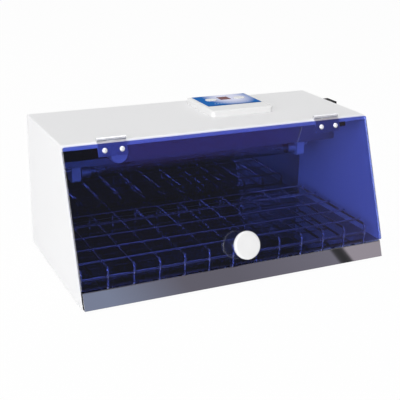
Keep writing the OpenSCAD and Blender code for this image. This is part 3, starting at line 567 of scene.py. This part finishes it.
def dress(context, *names):
    """Give solids of the frame the finish of their slot."""
    for name in names:
        solid = frame["nodes"][name]
        for slot in solid.material_slots:
            slot.material = finish_for(context, SLOT_OF[name])


def stand_off(*names):
    """Draw solids in by a hair, so that their faces don't lie in those of the sheet they touch."""
    hair = 0.02 * MM
    for name in names:
        seat = frame["nodes"][name].modifiers.new("stand_off", "DISPLACE")
        seat.mid_level = 0.0
        seat.strength = -hair


def pick_none():
    """Leave edit mode and select nothing."""
    if bpy.context.object is not None and bpy.context.object.mode != "OBJECT":
        bpy.ops.object.mode_set(mode="OBJECT")
    bpy.ops.object.select_all(action="DESELECT")


def pick(piece, test):
    """Select the corners of a piece that pass a test, with what lies between them, in edit mode."""
    bpy.ops.object.mode_set(mode="OBJECT")
    mesh = piece.data
    for corner in mesh.vertices:
        corner.select = test(corner.co)
    for part in (*mesh.edges, *mesh.polygons):
        part.select = all(mesh.vertices[number].select for number in part.vertices)
    bpy.ops.object.mode_set(mode="EDIT")


def tidy_mesh():
    """Merge doubles, turn the faces outward and leave edit mode."""
    bpy.ops.mesh.select_all(action="SELECT")
    bpy.ops.mesh.remove_doubles(threshold=TOUCH)
    bpy.ops.mesh.normals_make_consistent(inside=False)
    bpy.ops.object.mode_set(mode="OBJECT")


def copy_at(piece, spot, turn=None):
    """A copy of a piece with its own mesh, at another place."""
    copied = piece.copy()
    copied.data = piece.data.copy()
    bpy.context.collection.objects.link(copied)
    copied.matrix_world = Matrix.Translation(spot) @ (turn or Matrix.Identity(4))
    return copied


def gather(pieces, name):
    """Join pieces into one whose place is in its mesh."""
    pick_none()
    for piece in pieces:
        piece.select_set(True)
    bpy.context.view_layer.objects.active = pieces[0]
    if len(pieces) > 1:
        bpy.ops.object.join()
    joined = bpy.context.object
    joined.name = name
    joined.data.name = name
    bpy.ops.object.transform_apply(location=True, rotation=True, scale=True)
    return joined


def settle(context, piece, body, slot, finish=None):
    """Give a new piece its finish, which is its slot's unless one is named, and let it ride on its body."""
    crease = math.radians(40.0)
    piece.data.materials.clear()
    piece.data.materials.append(finish_for(context, finish or slot))
    pick_none()
    piece.select_set(True)
    context.view_layer.objects.active = piece
    bpy.ops.object.shade_smooth_by_angle(angle=crease)
    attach(piece, body)


def spaced(first, last, count):
    """Evenly spaced values."""
    return [first + (last - first) * step / (count - 1) for step in range(count)]


class CABINET_OT_shell(bpy.types.Operator):
    """Finish the outer sheets with their feet, screws and cord gland"""

    bl_idname = "cabinet.shell"
    bl_label = "Outer shell"

    def execute(self, context):
        dress(context, "outer_shell", "back_panel", "back_panel_screws", "bottom_plate")
        dress(context, "rubber_feet", "foot_screws", "cord_gland")
        return {"FINISHED"}


class CABINET_OT_chamber(bpy.types.Operator):
    """Finish the polished sheets inside and what is behind them"""

    bl_idname = "cabinet.chamber"
    bl_label = "Chamber"

    def execute(self, context):
        dress(context, "base_pan", "back_reflector", "ballast_housing", "housing_rivets", "ballast")
        return {"FINISHED"}


class CABINET_OT_rack(bpy.types.Operator):
    """Finish the wire rack and model the welds where its wires cross"""

    bl_idname = "cabinet.rack"
    bl_label = "Rack and welds"

    def execute(self, context):
        sizes = context.scene.cabinet_details
        dress(context, "rack_long_wires", "rack_cross_wires", "rack_tie_rods")
        bead = self.model_bead(sizes.bead_r)
        beads = [copy_at(bead, spot) for spot in self.crossings(sizes)]
        bpy.data.objects.remove(bead)
        settle(context, gather(beads, "rack_welds"), "rack", "chrome_wire")
        return {"FINISHED"}

    @staticmethod
    def model_bead(radius):
        """A small low drop of metal, flat underneath."""
        squash = 0.62
        cut = Vector((0.0, 0.0, -0.3 * radius))
        pick_none()
        bpy.ops.mesh.primitive_uv_sphere_add(segments=8, ring_count=6, radius=radius)
        bead = bpy.context.object
        bpy.ops.object.mode_set(mode="EDIT")
        bpy.ops.mesh.select_all(action="SELECT")
        bpy.ops.transform.resize(value=(1.0, 1.0, squash), center_override=(0.0, 0.0, 0.0))
        bpy.ops.mesh.bisect(plane_co=cut, plane_no=(0.0, 0.0, -1.0), use_fill=True, clear_outer=True)
        tidy_mesh()
        return bead

    @staticmethod
    def crossings(sizes):
        """Where the cross wires and tie rods meet the long wires."""
        long_low, long_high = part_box("rack_long_wires")
        cross_low, cross_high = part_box("rack_cross_wires")
        tie_low, tie_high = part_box("rack_tie_rods")
        wire_r = 1.5 * MM
        cross_r = (cross_high.z - cross_low.z) / 2
        tie_r = (tie_high.z - tie_low.z) / 2
        columns = spaced(long_low.x + wire_r, long_high.x - wire_r, sizes.long_count)
        rows = spaced(cross_low.y + cross_r, cross_high.y - cross_r, sizes.cross_count)
        spots = [(x, y, cross_low.z) for x in columns for y in rows]
        for x in columns:
            spots.append((x, tie_low.y, tie_low.z + tie_r))
            spots.append((x, tie_high.y, tie_low.z + tie_r))
        return spots


class CABINET_OT_lamp(bpy.types.Operator):
    """Finish the lamp and its holders, and wind the filament coils"""

    bl_idname = "cabinet.lamp"
    bl_label = "Lamp and filaments"

    def execute(self, context):
        sizes = context.scene.cabinet_details
        dress(context, "lamp_tube", "lamp_caps", "lamp_pins", "lamp_electrodes", "lamp_leads")
        dress(context, "lamp_holder_left", "lamp_holder_right", "lamp_rotors")
        coil = self.wind(sizes)
        tube_low, tube_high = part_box("lamp_tube")
        middle = (tube_low + tube_high) / 2
        reach = self.bridge_reach(middle)
        turn = Matrix.Rotation(math.pi / 2, 4, "X")
        coils = [copy_at(coil, (middle.x + side * reach, middle.y, middle.z), turn) for side in (-1, 1)]
        bpy.data.objects.remove(coil)
        settle(context, gather(coils, "lamp_filaments"), "lamp", "lamp_metal")
        return {"FINISHED"}

    @staticmethod
    def bridge_reach(middle):
        """Distance of the bridges that carry the coils from the lamp's middle."""
        mounts = frame["nodes"]["lamp_electrodes"].data.vertices
        nearest = min(abs(corner.co.x - middle.x) for corner in mounts)
        bridge_r = 0.4 * MM
        return nearest + bridge_r

    @staticmethod
    def wind(sizes):
        """One coil about the Z axis, centred."""
        pitch = 3.0 * sizes.coil_wire_r
        steps_per_turn = 14
        pick_none()
        bpy.ops.mesh.primitive_circle_add(
            vertices=8, radius=sizes.coil_wire_r, location=(sizes.coil_r, 0.0, 0.0),
            rotation=(math.pi / 2, 0.0, 0.0),
        )
        coil = bpy.context.object
        bpy.ops.object.transform_apply(location=True, rotation=True, scale=True)
        winding = coil.modifiers.new("winding", "SCREW")
        winding.axis = "Z"
        winding.angle = 2 * math.pi
        winding.screw_offset = pitch
        winding.iterations = sizes.coil_turns
        winding.steps = steps_per_turn
        winding.render_steps = steps_per_turn
        bpy.ops.object.modifier_apply(modifier=winding.name)
        bpy.ops.object.mode_set(mode="EDIT")
        bpy.ops.mesh.select_all(action="SELECT")
        bpy.ops.transform.translate(value=(0.0, 0.0, -pitch * sizes.coil_turns / 2))
        bpy.ops.mesh.fill_holes(sides=0)
        tidy_mesh()
        return coil


class CABINET_OT_starter(bpy.types.Operator):
    """Finish the starter and its socket"""

    bl_idname = "cabinet.starter"
    bl_label = "Starter"

    def execute(self, context):
        dress(context, "starter_can", "starter_socket", "starter_pins")
        return {"FINISHED"}


class CABINET_OT_door(bpy.types.Operator):
    """Finish the door sheet with its knob and hinges"""

    bl_idname = "cabinet.door"
    bl_label = "Door and hinges"

    def execute(self, context):
        dress(context, "door_panel", "door_knob", "knob_screw", "knob_washer")
        dress(context, "hinge_left_door_leaf", "hinge_left_body_leaf", "hinge_left_pin")
        dress(context, "hinge_right_door_leaf", "hinge_right_body_leaf", "hinge_right_pin")
        dress(context, "hinge_door_screws", "hinge_body_rivets")
        stand_off("hinge_left_door_leaf", "hinge_right_door_leaf")
        return {"FINISHED"}


class CABINET_OT_timer(bpy.types.Operator):
    """Finish the timer box and model the figures of its display"""

    bl_idname = "cabinet.timer"
    bl_label = "Timer box and display"

    def execute(self, context):
        sizes = context.scene.cabinet_details
        dress(context, "control_base", "control_cover", "control_label", "display_window")
        dress(context, "timer_board", "key_switches", "button_left", "button_right", "control_screws")
        low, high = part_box("display_window")
        bar_t = 0.1 * MM
        sunk = 0.3 * bar_t
        board_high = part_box("timer_board")[1].z
        middle = Vector(((low.x + high.x) / 2, (low.y + high.y) / 2, board_high - sunk))
        bar = self.model_bar(sizes.digit_h / 2 - sizes.segment_w, sizes.segment_w, bar_t)
        bars = [copy_at(bar, middle + spot, turn) for spot, turn in self.bar_places(sizes)]
        bpy.data.objects.remove(bar)
        settle(context, gather(bars, "display_figures"), "cabinet", "white_plastic", "display_bars")
        return {"FINISHED"}

    @staticmethod
    def bar_places(sizes):
        """Places and turns of the bars of two figures, from the display's middle."""
        upright = Matrix.Rotation(math.pi / 2, 4, "Z")
        level = Matrix.Identity(4)
        arm = sizes.digit_h / 4
        reach = sizes.digit_w / 2
        apart = 0.62 * sizes.digit_w
        places = []
        for side in (-1, 1):
            centre = side * apart
            for rise in (-2 * arm, 0.0, 2 * arm):
                places.append((Vector((centre, rise, 0.0)), level))
            for across in (-reach, reach):
                for rise in (-arm, arm):
                    places.append((Vector((centre + across, rise, 0.0)), upright))
        return places

    @staticmethod
    def model_bar(length, width, thick):
        """A thin bar along X with pointed ends."""
        half = (length - width) / 2
        pick_none()
        bpy.ops.mesh.primitive_plane_add(size=1.0)
        bar = bpy.context.object
        bpy.ops.object.mode_set(mode="EDIT")
        bpy.ops.mesh.select_all(action="SELECT")
        bpy.ops.transform.resize(value=(2 * half, width, 1.0), center_override=(0.0, 0.0, 0.0))
        for side in (-1, 1):
            pick(bar, lambda spot, end=side * half: abs(spot.x - end) < TOUCH)
            bpy.ops.mesh.extrude_region_move(TRANSFORM_OT_translate={"value": (side * width / 2, 0.0, 0.0)})
            bpy.ops.mesh.merge(type="CENTER")
        bpy.ops.mesh.select_all(action="SELECT")
        bpy.ops.mesh.extrude_region_move(TRANSFORM_OT_translate={"value": (0.0, 0.0, thick)})
        tidy_mesh()
        return bar


class CABINET_OT_switches(bpy.types.Operator):
    """Finish the rocker and the door switch, and model the marks on the rocker"""

    bl_idname = "cabinet.switches"
    bl_label = "Switches"

    # The rocker at rest leans by TILT. Seen from above, its two ends stand CREST from its pivot, and its
    # middle is lower by DISH. Its sides are WIDTH apart at the pivot and draw in as much as it leans.
    TILT = math.radians(9.0)
    CREST = 9.493 * MM
    DISH = 1.2 * MM
    WIDTH = 14.0 * MM
    HALF = WIDTH / 2 - CREST * math.tan(TILT)
    MARK_DEPTH = 0.3 * MM

    def execute(self, context):
        sizes = context.scene.cabinet_details
        dress(context, "switch_body", "switch_rocker", "interlock_switch", "interlock_plunger")
        marks = [self.model_stroke(sizes, self.MARK_DEPTH), self.model_ring(sizes, self.MARK_DEPTH)]
        for mark, side in zip(marks, (-1, 1)):
            mark.matrix_world = self.face(side)
        settle(context, gather(marks, "rocker_marks"), "rocker", "white_plastic")
        return {"FINISHED"}

    def face(self, side):
        """Frame of one face of the rocker: Z out of it and X up."""
        joint = next(entry for entry in frame["joints"] if entry["name"] == "rocker_tip")
        pivot = Vector(joint["pos_m"])
        middle = Vector((self.CREST - self.DISH / 2, side * self.HALF / 2, 0.0))
        slope = Vector((-side * self.DISH, -self.HALF, 0.0)).normalized()
        out = Vector((-slope.y, slope.x, 0.0))
        up = Vector((0.0, 0.0, 1.0))
        across = out.cross(up)
        frame_turn = Matrix((up, across, out)).transposed().to_4x4()
        tilt = Matrix.Rotation(self.TILT, 4, "Z")
        return Matrix.Translation(pivot) @ tilt @ Matrix.Translation(middle) @ frame_turn

    @staticmethod
    def model_stroke(sizes, depth):
        """A stroke along X with softened edges."""
        soft_r = 0.08 * MM
        pick_none()
        bpy.ops.mesh.primitive_cube_add(size=1.0)
        stroke = bpy.context.object
        bpy.ops.object.mode_set(mode="EDIT")
        bpy.ops.mesh.select_all(action="SELECT")
        bpy.ops.transform.resize(value=(sizes.mark_h, sizes.mark_w, depth), center_override=(0.0, 0.0, 0.0))
        bpy.ops.mesh.bevel(offset=soft_r, segments=2, affect="EDGES")
        tidy_mesh()
        return stroke

    @staticmethod
    def model_ring(sizes, depth):
        """A flat ring."""
        pick_none()
        bpy.ops.mesh.primitive_circle_add(vertices=32, radius=sizes.mark_h / 2, fill_type="NGON")
        ring = bpy.context.object
        bpy.ops.object.mode_set(mode="EDIT")
        bpy.ops.mesh.select_all(action="SELECT")
        bpy.ops.mesh.inset(thickness=sizes.mark_w)
        bpy.ops.mesh.delete(type="ONLY_FACE")
        bpy.ops.mesh.select_all(action="SELECT")
        bpy.ops.transform.translate(value=(0.0, 0.0, -depth / 2))
        bpy.ops.mesh.extrude_region_move(TRANSFORM_OT_translate={"value": (0.0, 0.0, depth)})
        tidy_mesh()
        return ring


class CABINET_OT_studio(bpy.types.Operator):
    """Set up the floor, the cards, the soft lamps and the camera"""

    bl_idname = "cabinet.studio"
    bl_label = "Studio"

    def execute(self, context):
        studio = context.scene.cabinet_studio
        context.scene.view_settings.view_transform = "Standard"
        self.set_world(context, studio)
        self.lay_floor(studio)
        if studio.show_cards:
            self.stand_card(studio)
            self.lay_mat(studio)
        aim = Vector((0.0, 0.0, 0.08))
        lamps = (
            ("key_lamp", (-2.2, -1.1, 0.90), 1.4, studio.key),
            ("top_lamp", (0.1, 0.3, 2.2), 2.0, studio.top),
            ("fill_lamp", (-0.9, -2.2, 0.62), 1.0, studio.fill),
        )
        for name, spot, size, power in lamps:
            self.hang_lamp(name, Vector(spot), aim, size, power)
        self.place_camera(context, studio)
        return {"FINISHED"}

    @staticmethod
    def seen(made):
        """One for the rays that show the background: straight, mirrored or through glass."""
        straight = made.node("LightPath", output="Is Camera Ray")
        mirrored = made.node("LightPath", output="Is Glossy Ray")
        through = made.node("LightPath", output="Is Transmission Ray")
        return made.math("MINIMUM", straight + mirrored + through, 1.0)

    def set_world(self, context, studio):
        """A white background that lights the object softly from all round."""
        world = bpy.data.worlds.new("studio_air")
        world.use_nodes = True
        context.scene.world = world
        made = Shader(world.node_tree)
        strength = studio.ambient + (1.0 - studio.ambient) * self.seen(made)
        air = made.node("Background", None, {"Color": rgba(WHITE), "Strength": strength})
        made.node("OutputWorld", None, {"Surface": air})

    def lay_floor(self, studio):
        """A wide pale floor that keeps a soft shadow."""
        pick_none()
        bpy.ops.mesh.primitive_plane_add(size=12.0)
        floor = bpy.context.object
        floor.name = "studio_floor"
        made = Finish("studio_floor")
        plain = made.node("BsdfDiffuse", None, {"Color": rgba(studio.floor)})
        pale = made.node("Emission", None, {"Color": rgba(WHITE)})
        share = studio.paleness * self.seen(made)
        floor.data.materials.append(made.done(made.node("MixShader", None, {0: share, 1: plain, 2: pale})))

    def stand_card(self, studio):
        """A card in front, outside the picture, that the door and the steel mirror. Its left is white."""
        spot = Vector((1.45, -1.80, 0.85))
        size = Vector((3.5, 1.7, 1.0))
        facing = Matrix.Rotation(math.radians(90.0), 3, "X").to_quaternion()
        card = self.add_card("dark_card", Matrix.LocRotScale(spot, facing, size))
        made = Finish("dark_card")
        # Places on the card run from -0.5 to 0.5 across and up it, and each edge fades between two of them
        left_edge = (-0.50, -0.34)
        foot_edge = (-0.2362, -0.2340)
        foot_tilt = 0.011
        across = made.axis("X")
        up = made.axis("Y")
        foot = self.card_foot(made, studio, across, up)
        head = self.card_head(made, studio, across, up)
        drawn = made.blend(made.ramp(up - foot_tilt * across, *foot_edge), foot, head)
        tone = made.blend(made.ramp(across, *left_edge), WHITE, drawn)
        card.data.materials.append(made.done(made.node("Emission", None, {"Color": tone})))

    @staticmethod
    def card_foot(made, studio, across, up):
        """The pale foot, which the front strip mirrors, with a dark slanting bar near its right end."""
        slant = 0.214
        start = 0.5536
        return made.graded(across + slant * up + start, [
            (0.186, studio.card_left),
            (0.263, studio.card_low),
            (0.314, studio.card_low),
            (0.430, shade(studio.card_low, 1.3)),
            (0.434, studio.card_high),
            (0.445, studio.card_high),
            (0.449, studio.card_right),
        ])

    @staticmethod
    def card_head(made, studio, across, up):
        """The dark head, which the door mirrors, with a reddish top and a paler right side."""
        top_edge = (-0.005, 0.025)
        top_left_edge = (-0.30, -0.25)
        side_edge = (-0.10, -0.02)
        top = made.ramp(up, *top_edge) * made.ramp(across, *top_left_edge)
        reddened = made.blend(top, studio.card_high, studio.card_top)
        return made.blend(made.ramp(across, *side_edge), reddened, studio.card_side)

    def lay_mat(self, studio):
        """A dark mat on the floor in front, which only the lamp housing mirrors."""
        spot = Vector((-0.24, -0.68, 0.001))
        size = Vector((0.50, 0.62, 1.0))
        mat = self.add_card("dark_mat", Matrix.LocRotScale(spot, None, size))
        made = Finish("dark_mat")
        mat.data.materials.append(made.done(made.node("Emission", None, {"Color": rgba(studio.mat)})))

    @staticmethod
    def add_card(name, place):
        """A card of the studio that only mirrors and glass show."""
        pick_none()
        bpy.ops.mesh.primitive_plane_add(size=1.0)
        card = bpy.context.object
        card.name = name
        card.matrix_world = place
        card.visible_camera = False
        card.visible_diffuse = False
        card.visible_shadow = False
        return card

    @staticmethod
    def hang_lamp(name, spot, aim, size, power):
        """A soft square lamp."""
        lamp = bpy.data.lights.new(name, "AREA")
        lamp.shape = "SQUARE"
        lamp.size = size
        lamp.energy = power
        hung = bpy.data.objects.new(name, lamp)
        hung.location = spot
        hung.rotation_euler = (spot - aim).to_track_quat("Z", "Y").to_euler()
        bpy.context.collection.objects.link(hung)

    @staticmethod
    def place_camera(context, studio):
        """A camera at the photograph's angle."""
        flat = math.cos(studio.elevation)
        back = Vector((
            math.sin(studio.azimuth) * flat, -math.cos(studio.azimuth) * flat, math.sin(studio.elevation)
        ))
        level = Vector((math.cos(studio.azimuth), math.sin(studio.azimuth), 0.0))
        right = math.cos(studio.roll) * level + math.sin(studio.roll) * back.cross(level)
        up = back.cross(right)
        lens = bpy.data.cameras.new("camera")
        lens.sensor_fit = "HORIZONTAL"
        lens.sensor_width = 36.0
        lens.lens = studio.lens
        lens.clip_start = 0.01
        camera = bpy.data.objects.new("camera", lens)
        turn = Matrix((right, up, back)).transposed().to_4x4()
        camera.matrix_world = Matrix.Translation(studio.eye) @ turn
        context.collection.objects.link(camera)
        context.scene.camera = camera


PIECE_OPERATORS = (
    CABINET_OT_shell,
    CABINET_OT_chamber,
    CABINET_OT_rack,
    CABINET_OT_lamp,
    CABINET_OT_starter,
    CABINET_OT_door,
    CABINET_OT_timer,
    CABINET_OT_switches,
    CABINET_OT_studio,
)


class CABINET_PT_panel(bpy.types.Panel):
    """Lists the steps and the values that may be changed"""

    bl_idname = "CABINET_PT_panel"
    bl_label = "UV sterilizer cabinet"
    bl_space_type = "VIEW_3D"
    bl_region_type = "UI"
    bl_category = "Cabinet"

    def draw(self, context):
        scene = context.scene
        for step in PIECE_OPERATORS:
            self.layout.operator(step.bl_idname)
        for group in (scene.cabinet_look, scene.cabinet_details, scene.cabinet_studio):
            column = self.layout.column()
            for name in group.__annotations__:
                column.prop(group, name)


CLASSES = (CabinetLook, CabinetDetails, CabinetStudio, *PIECE_OPERATORS, CABINET_PT_panel)


def register():
    """Add the classes and the values to Blender."""
    for entry in CLASSES:
        bpy.utils.register_class(entry)
    bpy.types.Scene.cabinet_look = PointerProperty(type=CabinetLook)
    bpy.types.Scene.cabinet_details = PointerProperty(type=CabinetDetails)
    bpy.types.Scene.cabinet_studio = PointerProperty(type=CabinetStudio)


def unregister():
    """Take the classes and the values out of Blender."""
    del bpy.types.Scene.cabinet_studio
    del bpy.types.Scene.cabinet_details
    del bpy.types.Scene.cabinet_look
    for entry in reversed(CLASSES):
        bpy.utils.unregister_class(entry)


def main():
    """Dress the cabinet step by step."""
    register()
    bpy.ops.cabinet.shell()
    bpy.ops.cabinet.chamber()
    bpy.ops.cabinet.rack()
    bpy.ops.cabinet.lamp()
    bpy.ops.cabinet.starter()
    bpy.ops.cabinet.door()
    bpy.ops.cabinet.timer()
    bpy.ops.cabinet.switches()
    bpy.ops.cabinet.studio()


if __name__ == "__main__":
    main()
